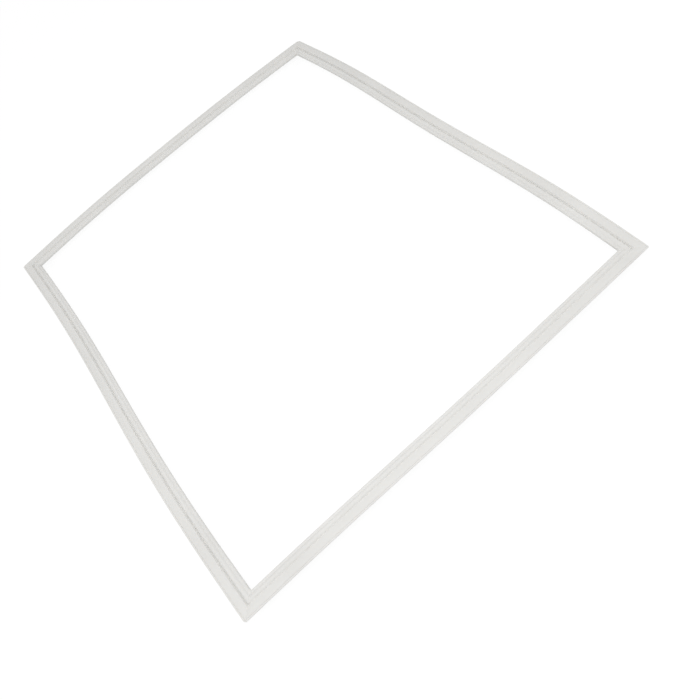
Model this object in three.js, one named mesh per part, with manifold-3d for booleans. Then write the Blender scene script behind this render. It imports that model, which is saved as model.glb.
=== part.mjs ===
// Refrigerator door gasket, lying on its fixing dart with the sealing face up. Millimetres, +Z up.
// One flexible PVC section is bent round four gently bowed sides, mitred and welded at the corners.
// A flexible magnet strip lies in the pocket under the sealing face of each side.
// Along every side, u runs inwards from the outer edge of the sealing face and z runs up.
import * as THREE from 'three';
import { mergeVertices } from 'three/addons/utils/BufferGeometryUtils.js';
import Module from 'manifold-3d';

// Frame, measured between the points where the outer edges of two sides would meet
const frameWidth = 575;
const frameLength = 680;
const cornerTrim = 2.5;
const stepsPerSide = 10;

// Outward bow of each side, as the heights of one, two and three half waves along it
const frontBow = [0.8, -0.8, -0.4];
const rightBow = [8.2, -0.1, 2.5];
const backBow = [13.9, -0.5, 0.9];
const leftBow = [1.0, -4.1, 0];

// Walls of the section
const wall = 0.8;
const faceThickness = 0.9;
const edgeRadius = 0.35;

// Fine crease in the face, where its outer lip hinges on the pocket wall
const creaseInset = 2.05;
const creaseWidth = 0.5;
const creaseDepth = 0.5;

// Magnet strip and the pocket that holds it
const magnetWidth = 7.4;
const magnetThickness = 2.2;
const magnetChamfer = 0.25;
const magnetClearance = 0.3;
const magnetEndGap = 14;
const faceLip = 0.9;
const pocketLean = 0.85;
const pocketWallTop = 1.5;

// Folded bellows between the pocket and the base
const bellowsHeight = 2.6;
const bellowsOuterInset = 2.4;
const bellowsInnerInset = 0.65;
const outerFold = 1.0;
const innerFold = 0.5;

// Air bulb beside the pocket, with a shallow valley before it, and the hollow fin beside the bulb
const valleyInset = 1.1;
const valleyDepth = 2.8;
const valleyRadius = 0.3;
const bulbWidth = 7.0;
const bulbDrop = 0.9;
const bulbShoulder = 1.9;
const bulbRadius = 4.0;
const finReach = 3.7;
const finRootDrop = 2.3;
const finCrest = 2.9;
const finCrestDrop = 2.0;
const finCrestRadius = 1.5;
const finNoseDrop = 5.1;
const finNoseHeight = 0.5;

// Base flange and the push-in dart under it
const baseThickness = 1.2;
const baseInnerInset = 4.8;
const dartHeight = 6;
const dartInset = 9;
const stemWidth = 2;
const barbReach = 1.3;
const barbHeight = 1.9;
const barbStep = 0.5;
const dartTipWidth = 1;

// Breather holes near the middle of each side
const breatherRadius = 0.7;
const breatherSides = 10;

// Places that follow from the sizes above
const baseTop = dartHeight + baseThickness;
const bellowsFoldHeight = baseTop + bellowsHeight / 2;
const pocketBottom = baseTop + bellowsHeight;
const cavityWidth = magnetWidth + 2 * magnetClearance;
const cavityHeight = magnetThickness + 2 * magnetClearance;
const cavityBottom = pocketBottom + wall;
const faceBottom = cavityBottom + cavityHeight;
const faceTop = faceBottom + faceThickness;
const cavityOuter = faceLip + pocketWallTop;
const pocketFloorOuter = faceLip + pocketLean;
const pocketInner = cavityOuter + cavityWidth + wall;
const bellowsOuter = pocketFloorOuter + bellowsOuterInset;
const bellowsInner = pocketInner - bellowsInnerInset;
const bulbOuter = pocketInner + valleyInset;
const bulbInner = bulbOuter + bulbWidth;
const valleyBottom = faceTop - valleyDepth;
const bulbTop = faceTop - bulbDrop;
const sectionWidth = bulbInner + finReach;
const finRoot = faceTop - finRootDrop;
const finTop = faceTop - finCrestDrop;
const finNose = faceTop - finNoseDrop;
const baseInner = sectionWidth - baseInnerInset;

const pvc = new THREE.MeshStandardMaterial({ color: 0xe2e2de, roughness: 0.45, metalness: 0 });
const ferriteRubber = new THREE.MeshStandardMaterial({ color: 0x3a3634, roughness: 0.8, metalness: 0 });

// The dart hangs from the underside of the base: a stem, two pairs of barbs and a narrow tip
function dartCorners() {
  const stem = stemWidth / 2;
  const barb = stem + barbReach;
  const tip = dartTipWidth / 2;
  const half = [
    [stem, dartHeight],
    [stem, 2 * barbHeight + barbStep],
    [barb, 2 * barbHeight + barbStep],
    [stem, barbHeight + barbStep],
    [stem, barbHeight],
    [barb, barbHeight],
    [tip, 0],
  ];
  const outer = half.map(([reach, z]) => [dartInset - reach, z]);
  const inner = half.map(([reach, z]) => [dartInset + reach, z]).reverse();
  return [...outer, ...inner];
}

// Outer outline of the PVC section as corners [u, z, rounding radius], counter-clockwise from the base
function outerCorners() {
  return [
    [bellowsOuter, dartHeight, edgeRadius],
    ...dartCorners(),
    [baseInner, dartHeight, edgeRadius],
    [sectionWidth - finNoseHeight, finNose - finNoseHeight],
    [sectionWidth, finNose, edgeRadius],
    [bulbInner + finCrest, finTop, finCrestRadius],
    [bulbInner, finRoot, valleyRadius],
    [bulbInner - bulbShoulder, bulbTop, bulbRadius],
    [bulbOuter + bulbShoulder, bulbTop, bulbRadius],
    [bulbOuter, valleyBottom, valleyRadius],
    [pocketInner, faceTop, edgeRadius],
    [creaseInset + creaseWidth / 2, faceTop],
    [creaseInset, faceTop - creaseDepth],
    [creaseInset - creaseWidth / 2, faceTop],
    [0, faceTop, edgeRadius],
    [0, faceBottom, edgeRadius],
    [faceLip, faceBottom],
    [pocketFloorOuter, pocketBottom, edgeRadius],
    [bellowsOuter, pocketBottom],
    [bellowsOuter - outerFold, bellowsFoldHeight],
    [bellowsOuter, baseTop],
  ];
}

// Pocket that the magnet strip slides into
function pocketCorners() {
  return [
    [cavityOuter, cavityBottom],
    [cavityOuter + cavityWidth, cavityBottom],
    [cavityOuter + cavityWidth, faceBottom],
    [cavityOuter, faceBottom],
  ];
}

// Chamber between the two folded bellows walls
function bellowsCorners() {
  return [
    [bellowsOuter + wall, baseTop],
    [bellowsInner - wall, baseTop],
    [bellowsInner - wall - innerFold, bellowsFoldHeight],
    [bellowsInner - wall, pocketBottom],
    [bellowsOuter + wall, pocketBottom],
    [bellowsOuter + wall - outerFold, bellowsFoldHeight],
  ];
}

// Chamber in the air bulb, between the folded partition and the upright wall under the fin root
function bulbCorners() {
  const roofRadius = bulbRadius - wall;
  return [
    [bellowsInner, baseTop],
    [baseInner - wall, baseTop],
    [bulbInner - wall / 2, baseTop + wall],
    [bulbInner - wall / 2, finRoot - wall],
    [bulbInner - bulbShoulder, bulbTop - wall, roofRadius],
    [bulbOuter + bulbShoulder, bulbTop - wall, roofRadius],
    [bulbOuter, valleyBottom - wall],
    [pocketInner, valleyBottom - wall],
    [pocketInner, pocketBottom],
    [bellowsInner, pocketBottom],
    [bellowsInner - innerFold, bellowsFoldHeight],
  ];
}

// Chamber in the fin, about one wall inside its outline
function finCorners() {
  const floor = (finNose - finNoseHeight - dartHeight) / (sectionWidth - finNoseHeight - baseInner);
  const start = bulbInner + wall / 2;
  const end = sectionWidth - 1.2 * wall;
  return [
    [start, dartHeight + floor * (start - baseInner) + 1.2 * wall],
    [end, dartHeight + floor * (end - baseInner) + 1.2 * wall],
    [bulbInner + finCrest - wall, finTop - wall, finCrestRadius - wall],
    [start, finRoot - wall],
  ];
}

// Outline with each corner that has a radius replaced by an arc of three steps that touches both edges
function roundedOutline(corners, clockwise) {
  const arcSteps = 3;
  const points = [];
  corners.forEach(([u, z, radius = 0], i) => {
    const corner = new THREE.Vector2(u, z);
    if (radius === 0) {
      points.push(corner);
      return;
    }
    const before = new THREE.Vector2(...corners[(i + corners.length - 1) % corners.length]);
    const after = new THREE.Vector2(...corners[(i + 1) % corners.length]);
    const toBefore = before.sub(corner).normalize();
    const toAfter = after.sub(corner).normalize();
    const halfAngle = Math.acos(toBefore.dot(toAfter)) / 2;
    const middle = toBefore.clone().add(toAfter).normalize();
    const centre = corner.clone().addScaledVector(middle, radius / Math.sin(halfAngle));
    const start = corner.clone().addScaledVector(toBefore, radius / Math.tan(halfAngle)).sub(centre);
    const turn = Math.sign(toAfter.cross(toBefore)) * (Math.PI - 2 * halfAngle);
    for (let step = 0; step <= arcSteps; step++) {
      const spoke = start.clone().rotateAround(new THREE.Vector2(), (turn * step) / arcSteps);
      points.push(centre.clone().add(spoke));
    }
  });
  if (THREE.ShapeUtils.isClockWise(points) !== clockwise) {
    points.reverse();
  }
  return points;
}

// Points along one side from corner to corner, bowed outwards by the sum of its half waves
function sidePoints(start, end, bow) {
  const along = new THREE.Vector2().subVectors(end, start);
  const outward = new THREE.Vector2(along.y, -along.x).normalize();
  const points = [];
  for (let i = 0; i < stepsPerSide; i++) {
    const share = i / stepsPerSide;
    const height = bow.reduce((sum, wave, k) => sum + wave * Math.sin((k + 1) * Math.PI * share), 0);
    points.push(start.clone().addScaledVector(along, share).addScaledVector(outward, height));
  }
  return points;
}

// Unit vector from a to b, and its left-hand normal, which points into the frame
function direction(a, b) {
  return new THREE.Vector2().subVectors(b, a).normalize();
}

function inwardNormal(a, b) {
  const along = direction(a, b);
  return new THREE.Vector2(-along.y, along.x);
}

// A station holds a point of the outer edge and the mitred inward step for each millimetre of u
function station(point, normalBefore, normalAfter) {
  const mitre = normalBefore.clone().add(normalAfter);
  return { point, inward: mitre.multiplyScalar(1 / (1 + normalBefore.dot(normalAfter))) };
}

function ringStations(points) {
  return points.map((point, i) => {
    const before = points[(i + points.length - 1) % points.length];
    const after = points[(i + 1) % points.length];
    return station(point, inwardNormal(before, point), inwardNormal(point, after));
  });
}

// The stations of one side that a magnet strip follows, square cut short of both corners
function stripStations(points, stations, side) {
  const first = side * stepsPerSide;
  const start = points[first];
  const second = points[first + 1];
  const end = points[(first + stepsPerSide) % points.length];
  const last = points[first + stepsPerSide - 1];
  const startNormal = inwardNormal(start, second);
  const endNormal = inwardNormal(last, end);
  const startPoint = start.clone().addScaledVector(direction(start, second), magnetEndGap);
  const endPoint = end.clone().addScaledVector(direction(last, end), -magnetEndGap);
  return [
    station(startPoint, startNormal, startNormal),
    ...stations.slice(first + 1, first + stepsPerSide),
    station(endPoint, endNormal, endNormal),
  ];
}

// Skin swept along the stations from one closed outline, added to the vertex and index lists
function addSkin(vertices, indices, outline, stations, closed) {
  const base = vertices.length / 3;
  const size = outline.length;
  for (const { point, inward } of stations) {
    for (const { x: u, y: z } of outline) {
      vertices.push(point.x + inward.x * u, point.y + inward.y * u, z);
    }
  }
  const spans = closed ? stations.length : stations.length - 1;
  for (let i = 0; i < spans; i++) {
    const near = base + i * size;
    const far = base + ((i + 1) % stations.length) * size;
    for (let j = 0; j < size; j++) {
      const k = (j + 1) % size;
      indices.push(near + j, near + k, far + k);
      indices.push(near + j, far + k, far + j);
    }
  }
}

function geometryFrom(vertices, indices) {
  const geometry = new THREE.BufferGeometry();
  geometry.setAttribute('position', new THREE.Float32BufferAttribute(vertices, 3));
  geometry.setIndex(indices);
  return geometry;
}

// Square-cut bar that follows the stations, with a flat cap on each end
function sweptBar(outline, stations) {
  const vertices = [];
  const indices = [];
  addSkin(vertices, indices, outline, stations, false);
  const farEnd = (stations.length - 1) * outline.length;
  for (const [a, b, c] of THREE.ShapeUtils.triangulateShape(outline, [])) {
    indices.push(a, c, b);
    indices.push(farEnd + a, farEnd + b, farEnd + c);
  }
  return geometryFrom(vertices, indices);
}

// Closed solid for cutting and joining, from a geometry placed in the frame
function solidFrom(wasm, geometry) {
  const bare = new THREE.BufferGeometry();
  bare.setAttribute('position', geometry.getAttribute('position'));
  bare.setIndex(geometry.getIndex());
  const merged = mergeVertices(bare, 1e-4);
  return new wasm.Manifold(new wasm.Mesh({
    numProp: 3,
    vertProperties: new Float32Array(merged.getAttribute('position').array),
    triVerts: new Uint32Array(merged.getIndex().array),
  }));
}

// Block that takes off the sharp tip of a welded corner, square to the mitre
function tipCutter(corner) {
  const size = 8 * cornerTrim;
  const inward = corner.inward.clone().normalize();
  const centre = corner.point.clone().addScaledVector(inward, cornerTrim - size / 2);
  const cutter = new THREE.BoxGeometry(size, size, 3 * faceTop);
  cutter.rotateZ(Math.atan2(inward.y, inward.x));
  cutter.translate(centre.x, centre.y, faceTop / 2);
  return cutter;
}

// Cross drilling from the outside through the bellows and the bulb into the fin, between two stations
function crossBreather(a, b) {
  const inward = inwardNormal(a, b);
  const middle = a.clone().add(b).multiplyScalar(0.5);
  const reach = bulbInner + 2 * wall;
  const centre = middle.addScaledVector(inward, reach / 2);
  const drill = new THREE.CylinderGeometry(breatherRadius, breatherRadius, reach, breatherSides);
  drill.rotateZ(Math.PI / 2);
  drill.rotateZ(Math.atan2(inward.y, inward.x));
  drill.translate(centre.x, centre.y, bellowsFoldHeight);
  return drill;
}

// Upright hole from the bellows chamber into the magnet pocket
function pocketBreather(a, b) {
  const middle = a.clone().add(b).multiplyScalar(0.5);
  const centre = middle.addScaledVector(inwardNormal(a, b), cavityOuter + cavityWidth / 2);
  const drill = new THREE.CylinderGeometry(breatherRadius, breatherRadius, 2 * wall, breatherSides);
  drill.rotateX(Math.PI / 2);
  drill.translate(centre.x, centre.y, pocketBottom + wall / 2);
  return drill;
}

// Outer edge of the whole ring, counter-clockwise from the front left corner
function ringPoints() {
  const frontLeft = new THREE.Vector2(-frameWidth / 2, -frameLength / 2);
  const frontRight = new THREE.Vector2(frameWidth / 2, -frameLength / 2);
  const backRight = new THREE.Vector2(frameWidth / 2, frameLength / 2);
  const backLeft = new THREE.Vector2(-frameWidth / 2, frameLength / 2);
  const points = [
    ...sidePoints(frontLeft, frontRight, frontBow),
    ...sidePoints(frontRight, backRight, rightBow),
    ...sidePoints(backRight, backLeft, backBow),
    ...sidePoints(backLeft, frontLeft, leftBow),
  ];
  const box = new THREE.Box2().setFromPoints(points);
  const centre = box.getCenter(new THREE.Vector2());
  return points.map((point) => point.sub(centre));
}

function gasketGeometry(wasm, points, stations) {
  const vertices = [];
  const indices = [];
  addSkin(vertices, indices, roundedOutline(outerCorners(), false), stations, true);
  for (const chamber of [pocketCorners(), bellowsCorners(), bulbCorners(), finCorners()]) {
    addSkin(vertices, indices, roundedOutline(chamber, true), stations, true);
  }
  let solid = solidFrom(wasm, geometryFrom(vertices, indices));
  for (let side = 0; side < 4; side++) {
    const middle = side * stepsPerSide + Math.floor(stepsPerSide / 2);
    solid = solid.subtract(solidFrom(wasm, tipCutter(stations[side * stepsPerSide])));
    solid = solid.subtract(solidFrom(wasm, crossBreather(points[middle], points[middle + 1])));
    solid = solid.subtract(solidFrom(wasm, pocketBreather(points[middle], points[middle + 1])));
  }
  const mesh = solid.getMesh();
  return geometryFrom(Array.from(mesh.vertProperties), Array.from(mesh.triVerts));
}

// Magnet strip section: a flat bar with chamfered edges, held clear of the pocket walls
function magnetOutline() {
  const left = cavityOuter + magnetClearance;
  const bottom = cavityBottom + magnetClearance;
  const right = left + magnetWidth;
  const top = bottom + magnetThickness;
  const c = magnetChamfer;
  return [
    new THREE.Vector2(left + c, bottom),
    new THREE.Vector2(right - c, bottom),
    new THREE.Vector2(right, bottom + c),
    new THREE.Vector2(right, top - c),
    new THREE.Vector2(right - c, top),
    new THREE.Vector2(left + c, top),
    new THREE.Vector2(left, top - c),
    new THREE.Vector2(left, bottom + c),
  ];
}

function namedMesh(name, geometry, material) {
  geometry.computeVertexNormals();
  const mesh = new THREE.Mesh(geometry, material);
  mesh.name = name;
  return mesh;
}

const wasm = await Module();
wasm.setup();

const points = ringPoints();
const stations = ringStations(points);
const gasket = new THREE.Group();
gasket.add(namedMesh('gasket_profile', gasketGeometry(wasm, points, stations), pvc));
['front', 'right', 'back', 'left'].forEach((name, side) => {
  const strip = sweptBar(magnetOutline(), stripStations(points, stations, side));
  gasket.add(namedMesh(`magnet_strip_${name}`, strip, ferriteRubber));
});

export default gasket;
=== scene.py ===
# %% [markdown]
# A refrigerator door gasket in Blender. The gasket is a soft PVC extrusion, welded into a ring, with
# a flat magnetic sealing face, a valley, an air bulb and a hollow fin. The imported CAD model
# gives the true size and place of everything. Here the plain CAD ring is replaced by a finer one,
# made in the order of the factory: extrude the section, saw the mitres, weld the corners.

# %% Load the frame
import math

import bpy
import numpy as np
from mathutils import Matrix, Vector


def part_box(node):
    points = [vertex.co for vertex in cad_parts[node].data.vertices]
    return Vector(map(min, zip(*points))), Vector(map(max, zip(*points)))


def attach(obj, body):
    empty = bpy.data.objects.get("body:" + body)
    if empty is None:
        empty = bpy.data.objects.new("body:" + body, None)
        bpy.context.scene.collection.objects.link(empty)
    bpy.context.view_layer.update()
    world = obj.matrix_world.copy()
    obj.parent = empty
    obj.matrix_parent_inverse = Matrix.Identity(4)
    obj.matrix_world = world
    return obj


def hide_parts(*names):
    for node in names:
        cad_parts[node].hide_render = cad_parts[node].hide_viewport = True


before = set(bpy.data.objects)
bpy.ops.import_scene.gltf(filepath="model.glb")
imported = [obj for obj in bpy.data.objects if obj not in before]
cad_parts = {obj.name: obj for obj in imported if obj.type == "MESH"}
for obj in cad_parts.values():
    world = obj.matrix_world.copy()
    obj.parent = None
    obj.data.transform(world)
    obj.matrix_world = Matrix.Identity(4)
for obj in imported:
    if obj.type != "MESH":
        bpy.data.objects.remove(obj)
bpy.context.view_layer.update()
MM = 0.001
ring_low, ring_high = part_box("gasket_profile")
print("CAD ring, mm:", [round(size / MM, 1) for size in ring_high - ring_low])

# %% [markdown]
# Operators act on whatever is selected, and the frame arrives with its nodes selected. So every
# step starts from nothing selected. Two small helpers keep that promise: one clears the selection,
# the other makes one object active and selected.


# %% Selection helpers
def deselect_all():
    if bpy.context.mode != "OBJECT":
        bpy.ops.object.mode_set(mode="OBJECT")
    bpy.ops.object.select_all(action="DESELECT")


def pick(piece):
    deselect_all()
    piece.select_set(True)
    bpy.context.view_layer.objects.active = piece


# %% [markdown]
# The ring lies loose, so its sides are not straight. Each side bows out of its line as a sum of one,
# two and three half waves, the same heights in millimetres as in the CAD model. A sum of sines is a
# good way to write such a curve: it is smooth, it starts and ends in the corners, and three numbers
# say how far it bows, how it leans to one end and how flat its middle is.

# %% Outline of the ring
FRAME_WIDTH = 575
FRAME_LENGTH = 680
BOWS = {
    "front": (0.8, -0.8, -0.4),
    "right": (8.2, -0.1, 2.5),
    "back": (13.9, -0.5, 0.9),
    "left": (1.0, -4.1, 0.0),
}
CORNER_TRIMS = {"front": 1.5, "right": 0.8, "back": 2.5, "left": 1.5}


def bow_height(side, share):
    waves = BOWS[side]
    return sum(height * np.sin((k + 1) * np.pi * share) for k, height in enumerate(waves))


STEPS_PER_SIDE = 10
stations = np.linspace(0, 1, STEPS_PER_SIDE + 1)
reach = {side: float(bow_height(side, stations).max()) for side in BOWS}
ring_shift = ((reach["left"] - reach["right"]) / 2, (reach["front"] - reach["back"]) / 2)
print("largest bows, mm:", {side: round(height, 1) for side, height in reach.items()})

# %% [markdown]
# The section is written as a list of corners. Each corner has a place across the band, u, measured
# inwards from the outer edge of the sealing face, a height z above the ground and a rounding radius.
# Soft PVC has no sharp edges: even its crispest corner left the die with a radius of a few tenths of
# a millimetre, and that radius is what catches the light along the whole length.

# %% Sizes of the section
WALL = 0.8
FACE = 0.9
EDGE = 0.35
CREASE = 0.15
DART_HEIGHT = 6.0
BASE_TOP = DART_HEIGHT + 1.2
FOLD_HEIGHT = BASE_TOP + 1.3
POCKET_BOTTOM = BASE_TOP + 2.6
CAVITY_BOTTOM = POCKET_BOTTOM + WALL
FACE_BOTTOM = CAVITY_BOTTOM + 2.8
FACE_TOP = FACE_BOTTOM + FACE
LIP = 0.9
LIP_CREASE = 2.05
LIP_CREASE_SIZE = 0.5
POCKET_FLOOR = 1.75
CAVITY_OUTER = 2.4
CAVITY_INNER = CAVITY_OUTER + 8.0
POCKET_INNER = CAVITY_INNER + WALL
BELLOWS_OUTER = POCKET_FLOOR + 2.4
BELLOWS_INNER = POCKET_INNER - 0.65
OUTER_FOLD = 1.0
INNER_FOLD = 0.5
VALLEY = POCKET_INNER + 1.1
VALLEY_BOTTOM = FACE_TOP - 2.8
VALLEY_RADIUS = 0.3
BULB_INNER = VALLEY + 7.0
BULB_TOP = FACE_TOP - 0.9
BULB_RADIUS = 4.0
SHOULDER = 1.9
SECTION_WIDTH = BULB_INNER + 3.7
FIN_ROOT = FACE_TOP - 2.3
FIN_CREST = BULB_INNER + 2.9
FIN_TOP = FACE_TOP - 2.0
FIN_RADIUS = 1.5
FIN_NOSE = FACE_TOP - 5.1
NOSE_HEIGHT = 0.5
BASE_INNER = SECTION_WIDTH - 4.8
FIN_SLOPE = (FIN_NOSE - NOSE_HEIGHT - DART_HEIGHT) / (SECTION_WIDTH - NOSE_HEIGHT - BASE_INNER)
DART_INSET = 9.0
STEM = 1.0
BARB = 2.3
BARB_HEIGHT = 1.9
BARB_STEP = 0.5
DART_TIP = 0.5
FIN_SKIN = 1.2 * WALL
print("section, mm:", round(SECTION_WIDTH, 2), "wide and", round(FACE_TOP, 2), "high")

# %% [markdown]
# The outline goes round the section once: base, dart, fin, bulb, valley, sealing face and bellows.
# Both halves of the dart are alike, so only one is written and the other mirrors it. The chambers
# inside are the magnet pocket, the bellows, the bulb and the fin, each about a wall away.


# %% Corners of the section
def dart_corners():
    half = [
        (STEM, DART_HEIGHT, EDGE),
        (STEM, 2 * BARB_HEIGHT + BARB_STEP, CREASE),
        (BARB, 2 * BARB_HEIGHT + BARB_STEP, CREASE),
        (STEM, BARB_HEIGHT + BARB_STEP, CREASE),
        (STEM, BARB_HEIGHT, CREASE),
        (BARB, BARB_HEIGHT, CREASE),
        (DART_TIP, 0, CREASE),
    ]
    outer = [(DART_INSET - across, z, radius) for across, z, radius in half]
    inner = [(DART_INSET + across, z, radius) for across, z, radius in half]
    return outer + inner[::-1]


outer_corners = [
    (BELLOWS_OUTER, DART_HEIGHT, EDGE),
    *dart_corners(),
    (BASE_INNER, DART_HEIGHT, EDGE),
    (SECTION_WIDTH - NOSE_HEIGHT, FIN_NOSE - NOSE_HEIGHT, EDGE),
    (SECTION_WIDTH, FIN_NOSE, EDGE),
    (FIN_CREST, FIN_TOP, FIN_RADIUS),
    (BULB_INNER, FIN_ROOT, VALLEY_RADIUS),
    (BULB_INNER - SHOULDER, BULB_TOP, BULB_RADIUS),
    (VALLEY + SHOULDER, BULB_TOP, BULB_RADIUS),
    (VALLEY, VALLEY_BOTTOM, VALLEY_RADIUS),
    (POCKET_INNER, FACE_TOP, EDGE),
    (LIP_CREASE + LIP_CREASE_SIZE / 2, FACE_TOP, CREASE / 2),
    (LIP_CREASE, FACE_TOP - LIP_CREASE_SIZE, CREASE / 3),
    (LIP_CREASE - LIP_CREASE_SIZE / 2, FACE_TOP, CREASE / 2),
    (0, FACE_TOP, EDGE),
    (0, FACE_BOTTOM, EDGE),
    (LIP, FACE_BOTTOM, CREASE),
    (POCKET_FLOOR, POCKET_BOTTOM, EDGE),
    (BELLOWS_OUTER, POCKET_BOTTOM, CREASE),
    (BELLOWS_OUTER - OUTER_FOLD, FOLD_HEIGHT, EDGE),
    (BELLOWS_OUTER, BASE_TOP, CREASE),
]
fin_start = BULB_INNER + WALL / 2
fin_end = SECTION_WIDTH - FIN_SKIN
chambers = [
    [
        (CAVITY_OUTER, CAVITY_BOTTOM, CREASE),
        (CAVITY_INNER, CAVITY_BOTTOM, CREASE),
        (CAVITY_INNER, FACE_BOTTOM, CREASE),
        (CAVITY_OUTER, FACE_BOTTOM, CREASE),
    ],
    [
        (BELLOWS_OUTER + WALL, BASE_TOP, CREASE),
        (BELLOWS_INNER - WALL, BASE_TOP, CREASE),
        (BELLOWS_INNER - WALL - INNER_FOLD, FOLD_HEIGHT, CREASE),
        (BELLOWS_INNER - WALL, POCKET_BOTTOM, CREASE),
        (BELLOWS_OUTER + WALL, POCKET_BOTTOM, CREASE),
        (BELLOWS_OUTER + WALL - OUTER_FOLD, FOLD_HEIGHT, CREASE),
    ],
    [
        (BELLOWS_INNER, BASE_TOP, CREASE),
        (BASE_INNER - WALL, BASE_TOP, CREASE),
        (BULB_INNER - WALL / 2, BASE_TOP + WALL, CREASE),
        (BULB_INNER - WALL / 2, FIN_ROOT - WALL, CREASE),
        (BULB_INNER - SHOULDER, BULB_TOP - WALL, BULB_RADIUS - WALL),
        (VALLEY + SHOULDER, BULB_TOP - WALL, BULB_RADIUS - WALL),
        (VALLEY, VALLEY_BOTTOM - WALL, CREASE),
        (POCKET_INNER, VALLEY_BOTTOM - WALL, CREASE),
        (POCKET_INNER, POCKET_BOTTOM, CREASE),
        (BELLOWS_INNER, POCKET_BOTTOM, CREASE),
        (BELLOWS_INNER - INNER_FOLD, FOLD_HEIGHT, CREASE),
    ],
    [
        (fin_start, DART_HEIGHT + FIN_SLOPE * (fin_start - BASE_INNER) + FIN_SKIN, CREASE),
        (fin_end, DART_HEIGHT + FIN_SLOPE * (fin_end - BASE_INNER) + FIN_SKIN, CREASE),
        (FIN_CREST - WALL, FIN_TOP - WALL, FIN_RADIUS - WALL),
        (fin_start, FIN_ROOT - WALL, CREASE),
    ],
]
print("corners:", len(outer_corners), "outside and", sum(map(len, chambers)), "in the chambers")

# %% [markdown]
# Rounding a corner needs the arc that touches both of its edges. Its centre lies on the line that
# halves the corner's angle, and the arc turns by what is left of a half turn. Small radii get three
# steps and large ones six, which is smooth at any distance from which a gasket is looked at.


# %% Rounded outline
LARGE_ROUND_STEPS = 6
SMALL_ROUND_STEPS = 3


def rounded(corners):
    points = []
    for i, (u, z, radius) in enumerate(corners):
        corner = Vector((u, z))
        to_before = (Vector(corners[i - 1][:2]) - corner).normalized()
        to_after = (Vector(corners[(i + 1) % len(corners)][:2]) - corner).normalized()
        half_angle = math.acos(max(-1, min(1, to_before.dot(to_after)))) / 2
        middle = (to_before + to_after).normalized()
        centre = corner + middle * (radius / math.sin(half_angle))
        spoke = corner + to_before * (radius / math.tan(half_angle)) - centre
        side = 1 if to_after.x * to_before.y - to_after.y * to_before.x > 0 else -1
        turn = side * (math.pi - 2 * half_angle)
        arc_steps = LARGE_ROUND_STEPS if radius > 2 * EDGE else SMALL_ROUND_STEPS
        for k in range(arc_steps + 1):
            points.append(centre + Matrix.Rotation(turn * k / arc_steps, 2) @ spoke)
    return points


outline = rounded(outer_corners)
chamber_outlines = [rounded(corners) for corners in chambers]
print("points round the outside:", len(outline))

# %% [markdown]
# The factory saws four lengths of extrusion at 45 degrees and welds the cut ends. The same is done
# here, because it gives true mitres with every line of the section meeting its partner. The section
# is drawn as loops of edges, and a vertex attribute keeps the distance round each loop, so that the
# material can later draw the fine lines that the die leaves along the extrusion.


# %% Draw the section
def distances_round(points):
    following = points[1:] + points[:1]
    lengths = [(after - point).length for point, after in zip(points, following)]
    return np.concatenate(([0], np.cumsum(lengths)[:-1]))


INSIDE = 1000


def draw_section(name):
    mesh = bpy.data.meshes.new(name)
    vertices, edges, around = [], [], []
    for loop in [outline, *chamber_outlines]:
        first = len(vertices)
        vertices += [(0, point.x * MM, point.y * MM) for point in loop]
        edges += [(first + i, first + (i + 1) % len(loop)) for i in range(len(loop))]
        around += list(distances_round(loop) + INSIDE * (first > 0))
    mesh.from_pydata(vertices, edges, [])
    attribute = mesh.attributes.new("around", "FLOAT", "POINT")
    attribute.data.foreach_set("value", around)
    piece = bpy.data.objects.new(name, mesh)
    bpy.context.collection.objects.link(piece)
    return piece


section = draw_section("section")
print("edges in the section:", len(section.data.edges))

# %% [markdown]
# Extruding the loops makes the skin of the section: the outside and the walls of its chambers. The
# saw opens it at both ends. The ends stay open on purpose, because they are about to be welded to
# the next length. Two more cuts beside each end give the weld its own narrow strip of faces, and
# the long faces between are divided so that the length can bow.

# %% Extrude one length and saw its ends
LENGTH_SPARE = 40
WELD_STRIP = 0.4
RINGS = 48


def saw(x, lean, clear_inner=False, clear_outer=False):
    bpy.ops.mesh.select_all(action="SELECT")
    bpy.ops.mesh.bisect(
        plane_co=(x * MM, 0, 0),
        plane_no=(1, -lean, 0),
        clear_inner=clear_inner,
        clear_outer=clear_outer,
    )


def select_long_edges(piece, shortest):
    bpy.ops.object.mode_set(mode="OBJECT")
    for edge in piece.data.edges:
        a, b = (piece.data.vertices[i].co for i in edge.vertices)
        edge.select = (a - b).length > shortest
    bpy.ops.object.mode_set(mode="EDIT")


def make_length(name, length):
    piece = section.copy()
    piece.data = section.data.copy()
    piece.name = name
    bpy.context.collection.objects.link(piece)
    pick(piece)
    bpy.ops.object.mode_set(mode="EDIT")
    bpy.ops.mesh.select_all(action="SELECT")
    bpy.ops.transform.translate(value=(-LENGTH_SPARE * MM, 0, 0))
    full = (length + 2 * LENGTH_SPARE) * MM
    bpy.ops.mesh.extrude_region_move(TRANSFORM_OT_translate={"value": (full, 0, 0)})
    saw(0, 1, clear_inner=True)
    saw(length, -1, clear_outer=True)
    saw(WELD_STRIP, 1)
    saw(length - WELD_STRIP, -1)
    bpy.ops.mesh.select_mode(type="EDGE")
    bpy.ops.mesh.select_all(action="DESELECT")
    select_long_edges(piece, length * MM / 2)
    bpy.ops.mesh.subdivide(number_cuts=RINGS)
    bpy.ops.mesh.select_mode(type="VERT")
    bpy.ops.object.mode_set(mode="OBJECT")
    return piece


print("rings along one length:", RINGS)

# %% [markdown]
# One function makes all four lengths, and each is turned a quarter further round the frame. Its
# rotation is applied, so that the joined ring has plain coordinates for the trim and the bow.

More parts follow.
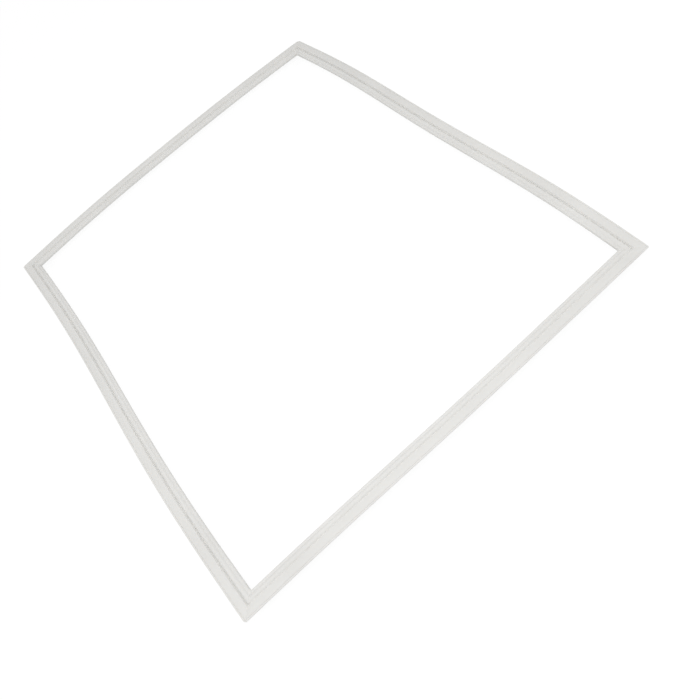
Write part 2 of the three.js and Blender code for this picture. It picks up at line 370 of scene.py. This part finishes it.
# %% Four lengths round the frame
half_width = FRAME_WIDTH / 2 * MM
half_length = FRAME_LENGTH / 2 * MM
starts = {
    "front": (FRAME_WIDTH, (-half_width, -half_length)),
    "right": (FRAME_LENGTH, (half_width, -half_length)),
    "back": (FRAME_WIDTH, (half_width, half_length)),
    "left": (FRAME_LENGTH, (-half_width, half_length)),
}
lengths = []
for quarter, (side, (length, (x, y))) in enumerate(starts.items()):
    piece = make_length("length_" + side, length)
    turn = Matrix.Rotation(quarter * math.pi / 2, 4, "Z")
    piece.matrix_world = Matrix.Translation((x, y, 0)) @ turn
    pick(piece)
    bpy.ops.object.transform_apply(location=True, rotation=True, scale=True)
    lengths.append(piece)
bpy.data.objects.remove(section)
print("lengths:", [piece.name for piece in lengths])

# %% [markdown]
# Welding presses two sawn ends together while hot. In Blender the four lengths are joined into one
# object and the doubled vertices on the mitres are merged. The tool also trims the sharp tip of
# each corner, so a cut square to the mitre takes it off and closes the hole. The four tips in the
# photograph are not alike, so each corner has its own trim, named after the side that starts there.

# %% Weld the corners and trim the tips
WELD_REACH = 0.01
CORNER_REACH = 60
pick(lengths[0])
for piece in lengths[1:]:
    piece.select_set(True)
bpy.ops.object.join()
ring = lengths[0]
ring.name = ring.data.name = "gasket_ring"
bpy.ops.object.mode_set(mode="EDIT")
bpy.ops.mesh.select_all(action="SELECT")
bpy.ops.mesh.remove_doubles(threshold=WELD_REACH * MM)


def select_vertices(piece, test):
    bpy.ops.mesh.select_all(action="DESELECT")
    bpy.ops.object.mode_set(mode="OBJECT")
    for vertex in piece.data.vertices:
        vertex.select = test(vertex.co)
    bpy.ops.object.mode_set(mode="EDIT")


def near_corner(place, x, y):
    return (place.xy - Vector((x, y))).length < CORNER_REACH * MM


for side, (_, (x, y)) in starts.items():
    outward = Vector((math.copysign(1, x), math.copysign(1, y), 0)).normalized()
    select_vertices(ring, lambda place: near_corner(place, x, y))
    bpy.ops.mesh.bisect(
        plane_co=Vector((x, y, 0)) - outward * CORNER_TRIMS[side] * MM,
        plane_no=outward,
        use_fill=True,
        clear_outer=True,
    )
bpy.ops.object.mode_set(mode="OBJECT")
print("vertices in the welded ring:", len(ring.data.vertices))

# %% [markdown]
# The weld leaves a hair line: the melted lip cools and shrinks a little below the faces beside it.
# The vertices that lie on the mitre planes are moved inwards along their normals, by about a tenth
# of a millimetre. Before that, the normals are recalculated: outwards on the skin, and into the
# hollow in the chambers, because there the material is on the other side. On the skin this works.
# In the chambers it does not: parts of their walls still face the wrong way, not the same parts in
# every run, and their weld vertices then move the wrong way too. The skin hides all of it.

# %% Normals and weld lines
WELD_SINK = 0.12
MITRE_SLACK = 0.002
BAND_REACH = 30


def on_mitre(place):
    across = abs(abs(place.x) - half_width)
    along = abs(abs(place.y) - half_length)
    return abs(across - along) < MITRE_SLACK * MM and across < BAND_REACH * MM


def select_chambers(piece, wanted):
    bpy.ops.mesh.select_all(action="DESELECT")
    bpy.ops.object.mode_set(mode="OBJECT")
    values = piece.data.attributes["around"].data
    for vertex, value in zip(piece.data.vertices, values):
        vertex.select = (value.value >= INSIDE) == wanted
    bpy.ops.object.mode_set(mode="EDIT")


pick(ring)
bpy.ops.object.mode_set(mode="EDIT")
select_chambers(ring, False)
bpy.ops.mesh.normals_make_consistent(inside=False)
select_chambers(ring, True)
bpy.ops.mesh.normals_make_consistent(inside=True)
select_vertices(ring, on_mitre)
bpy.ops.transform.shrink_fatten(value=-WELD_SINK * MM)
bpy.ops.object.mode_set(mode="OBJECT")
print("vertices on the welds:", sum(on_mitre(v.co) for v in ring.data.vertices))

# %% [markdown]
# Now the whole ring is bowed in one smooth bend of its plane. A point near one side moves with that
# side, and between the sides the movement fades evenly, so the four mitres stay together. Each
# vertex moves by a formula, which is what a lattice would do by hand, only exactly.

# %% Bow the sides
FADE_MARGIN = 30
SMOOTH_ANGLE = 35


def bow(x, y):
    share_x = np.clip(x / FRAME_WIDTH + 0.5, 0, 1)
    share_y = np.clip(y / FRAME_LENGTH + 0.5, 0, 1)
    fade_width = FRAME_WIDTH - 2 * FADE_MARGIN
    fade_length = FRAME_LENGTH - 2 * FADE_MARGIN
    to_right = np.clip((x + FRAME_WIDTH / 2 - FADE_MARGIN) / fade_width, 0, 1)
    to_back = np.clip((y + FRAME_LENGTH / 2 - FADE_MARGIN) / fade_length, 0, 1)
    right, left = bow_height("right", share_y), bow_height("left", 1 - share_y)
    back, front = bow_height("back", 1 - share_x), bow_height("front", share_x)
    move_x = right * to_right - left * (1 - to_right)
    move_y = back * to_back - front * (1 - to_back)
    return x + move_x + ring_shift[0], y + move_y + ring_shift[1]


places = np.empty(len(ring.data.vertices) * 3)
ring.data.vertices.foreach_get("co", places)
places = places.reshape(-1, 3) / MM
places[:, 0], places[:, 1] = bow(places[:, 0], places[:, 1])
ring.data.vertices.foreach_set("co", (places * MM).ravel())
pick(ring)
bpy.ops.object.shade_smooth_by_angle(angle=math.radians(SMOOTH_ANGLE))
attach(ring, "root")
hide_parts("gasket_profile")
size = places.max(axis=0) - places.min(axis=0)
triangles = sum(len(polygon.vertices) - 2 for polygon in ring.data.polygons)
print("bowed ring, mm:", np.round(size, 1), "triangles:", triangles)

# %% [markdown]
# Colours are written as sRGB hex values, as they would be read off a photograph, and one function
# turns them to the linear values that the shader wants. Another adds a node with its settings and
# links, so that each material reads as a short recipe.


# %% Material helpers
def linear(hex_colour):
    channels = [int(hex_colour[i : i + 2], 16) / 255 for i in (1, 3, 5)]
    return [c / 12.92 if c <= 0.04045 else ((c + 0.055) / 1.055) ** 2.4 for c in channels] + [1]


def new_material(name):
    material = bpy.data.materials.new(name)
    material.use_nodes = True
    material.node_tree.nodes.clear()
    return material


def add(material, kind, inputs=None, **settings):
    tree = material.node_tree
    node = tree.nodes.new("ShaderNode" + kind)
    for key, value in settings.items():
        setattr(node, key, value)
    for key, value in (inputs or {}).items():
        if isinstance(value, bpy.types.NodeSocket):
            tree.links.new(value, node.inputs[key])
        else:
            node.inputs[key].default_value = value
    return node


def set_ramp(node, stops):
    elements = node.color_ramp.elements
    while len(elements) < len(stops):
        elements.new(1)
    for element, (position, colour) in zip(elements, stops):
        element.position = position
        element.color = colour


print("white in linear values:", linear("#ffffff")[:3])

# %% [markdown]
# Flexible PVC: a soft, plasticised plastic, pressed warm through a steel die. It is pale grey-white
# with a satin skin. Light goes a little way into it, so that its thin lips and its valley look soft
# and bright instead of hard. The die leaves faint lines that run along the whole length. At their
# real width they are too fine to show in the render, so they are drawn coarser. The soft skin is
# never quite flat either: it waves slightly over centimetres.

# %% Extruded PVC
pvc = new_material("extruded_flexible_pvc")
die = add(pvc, "Attribute", attribute_name="around")
die_lines = add(
    pvc,
    "TexNoise",
    {"W": die.outputs["Fac"], "Scale": 0.7, "Detail": 3, "Roughness": 0.6},
    noise_dimensions="1D",
)
place = add(pvc, "TexCoord")
waves = add(pvc, "TexNoise", {"Vector": place.outputs["Object"], "Scale": 45, "Detail": 2})
mottle = add(pvc, "TexNoise", {"Vector": place.outputs["Object"], "Scale": 14, "Detail": 4})
tint = add(pvc, "ValToRGB", {"Fac": mottle.outputs["Fac"]})
set_ramp(tint, [(0.3, linear("#e0dfdc")), (0.7, linear("#e5e4e1"))])
gloss = add(pvc, "MapRange", {"Value": die_lines.outputs["Fac"], "To Min": 0.4, "To Max": 0.5})
fine = add(
    pvc, "Bump", {"Height": die_lines.outputs["Fac"], "Strength": 0.3, "Distance": 0.1 * MM}
)
skin = add(
    pvc,
    "Bump",
    {
        "Height": waves.outputs["Fac"],
        "Normal": fine.outputs["Normal"],
        "Strength": 0.3,
        "Distance": MM,
    },
)
plastic = add(
    pvc,
    "BsdfPrincipled",
    {
        "Base Color": tint.outputs["Color"],
        "Roughness": gloss.outputs["Result"],
        "IOR": 1.53,
        "Subsurface Weight": 0.1,
        "Subsurface Radius": (1.0, 0.9, 0.8),
        "Subsurface Scale": 1.5 * MM,
        "Normal": skin.outputs["Normal"],
    },
)
add(pvc, "OutputMaterial", {"Surface": plastic.outputs["BSDF"]})
ring.data.materials.clear()
ring.data.materials.append(pvc)
print("material:", pvc.name)

# %% [markdown]
# The magnet strips are bonded ferrite: magnetic powder in a rubber binder, rolled or extruded flat.
# They are dark brown-grey and dull, with a fine grain. They sit inside the pocket, so only someone
# who opens the gasket sees them, but they get their own finish all the same.

# %% Bonded ferrite
ferrite = new_material("extruded_bonded_ferrite")
place = add(ferrite, "TexCoord")
grain = add(ferrite, "TexNoise", {"Vector": place.outputs["Object"], "Scale": 1500, "Detail": 3})
tint = add(ferrite, "ValToRGB", {"Fac": grain.outputs["Fac"]})
set_ramp(tint, [(0.35, linear("#35312f")), (0.7, linear("#454140"))])
relief = add(
    ferrite, "Bump", {"Height": grain.outputs["Fac"], "Strength": 0.3, "Distance": 0.1 * MM}
)
rubber = add(
    ferrite,
    "BsdfPrincipled",
    {"Base Color": tint.outputs["Color"], "Roughness": 0.8, "Normal": relief.outputs["Normal"]},
)
add(ferrite, "OutputMaterial", {"Surface": rubber.outputs["BSDF"]})
for side in BOWS:
    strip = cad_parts["magnet_strip_" + side]
    for slot in strip.material_slots:
        slot.material = ferrite
print("magnet strips finished:", len(BOWS))

# %% [markdown]
# The gasket lies on a plain white ground. The floor is a real white diffuse surface, so it throws
# light back up on the sides of the band and it keeps the shadow. For the camera its paleness is
# raised to white through Light Path, and no more light falls on the object for that. The glow is
# kept out of the list of lamps, because a floor this large would draw most of the light samples.

# %% Floor and world
FLOOR_SIZE = 12


def seen_directly(material):
    path = add(material, "LightPath")
    rays = [path.outputs["Is Camera Ray"], path.outputs["Is Glossy Ray"]]
    return add(material, "Math", dict(enumerate(rays)), operation="MAXIMUM"), path


bpy.ops.mesh.primitive_plane_add(size=FLOOR_SIZE, location=(0, 0, 0))
floor = bpy.context.object
floor.name = "studio_floor"
paper = new_material("white_studio_paper")
paper.cycles.emission_sampling = "NONE"
seen, path = seen_directly(paper)
rays = [seen.outputs[0], path.outputs["Is Transmission Ray"]]
seen = add(paper, "Math", dict(enumerate(rays)), operation="MAXIMUM")
matt = add(paper, "BsdfDiffuse", {"Color": linear("#e6e6e6")})
shade = add(paper, "BsdfDiffuse", {"Color": (0.1, 0.1, 0.1, 1)})
glow = add(paper, "Emission", {"Color": (1, 1, 1, 1), "Strength": 0.93})
lifted = add(paper, "AddShader", {0: shade.outputs[0], 1: glow.outputs[0]})
surface = add(paper, "MixShader", {0: seen.outputs[0], 1: matt.outputs[0], 2: lifted.outputs[0]})
add(paper, "OutputMaterial", {"Surface": surface.outputs[0]})
floor.data.materials.append(paper)

world = bpy.data.worlds.new("soft_studio")
bpy.context.scene.world = world
world.use_nodes = True
world.node_tree.nodes.clear()
seen, _ = seen_directly(world)
strength = add(world, "MapRange", {"Value": seen.outputs[0], "To Min": 0.36, "To Max": 0.97})
sky = add(world, "Background", {"Color": (1, 1, 1, 1), "Strength": strength.outputs["Result"]})
add(world, "OutputWorld", {"Surface": sky.outputs["Background"]})
print("floor:", FLOOR_SIZE, "m")

# %% [markdown]
# Four large softboxes give light without hard shadows. The one over the front side hangs low, so the
# front gets a little more light than the far corners, as in the photograph. The two at the sides
# stand low too, so that the grooves that run from front to back are darker than the other two.

# %% Lamps and camera

def add_lamp(name, location, target, size, power):
    data = bpy.data.lights.new(name, "AREA")
    data.shape = "SQUARE"
    data.size = size
    data.energy = power
    lamp = bpy.data.objects.new(name, data)
    lamp.location = location
    lamp.rotation_euler = (Vector(target) - Vector(location)).to_track_quat("-Z", "Y").to_euler()
    bpy.context.collection.objects.link(lamp)


add_lamp("front_softbox", (-0.05, -0.4, 1.0), (-0.05, -0.4, 0), 0.9, 5)
add_lamp("back_softbox", (0, 1.4, 1.3), (0, 0, 0), 0.8, 5)
add_lamp("left_softbox", (-1.6, -0.4, 0.8), (0, 0, 0), 0.9, 7)
add_lamp("right_softbox", (1.6, -0.4, 0.8), (0, 0, 0), 0.9, 7)

camera_data = bpy.data.cameras.new("photo_camera")
camera_data.lens = 32.853
camera_data.sensor_width = 36
camera = bpy.data.objects.new("photo_camera", camera_data)
camera.location = (-0.0941, -0.5913, 0.6336)
camera.rotation_euler = [math.radians(angle) for angle in (28.924, 17.619, -38.95)]
bpy.context.collection.objects.link(camera)
bpy.context.scene.camera = camera
bpy.context.scene.view_settings.view_transform = "Standard"
print("camera height, m:", camera.location.z)
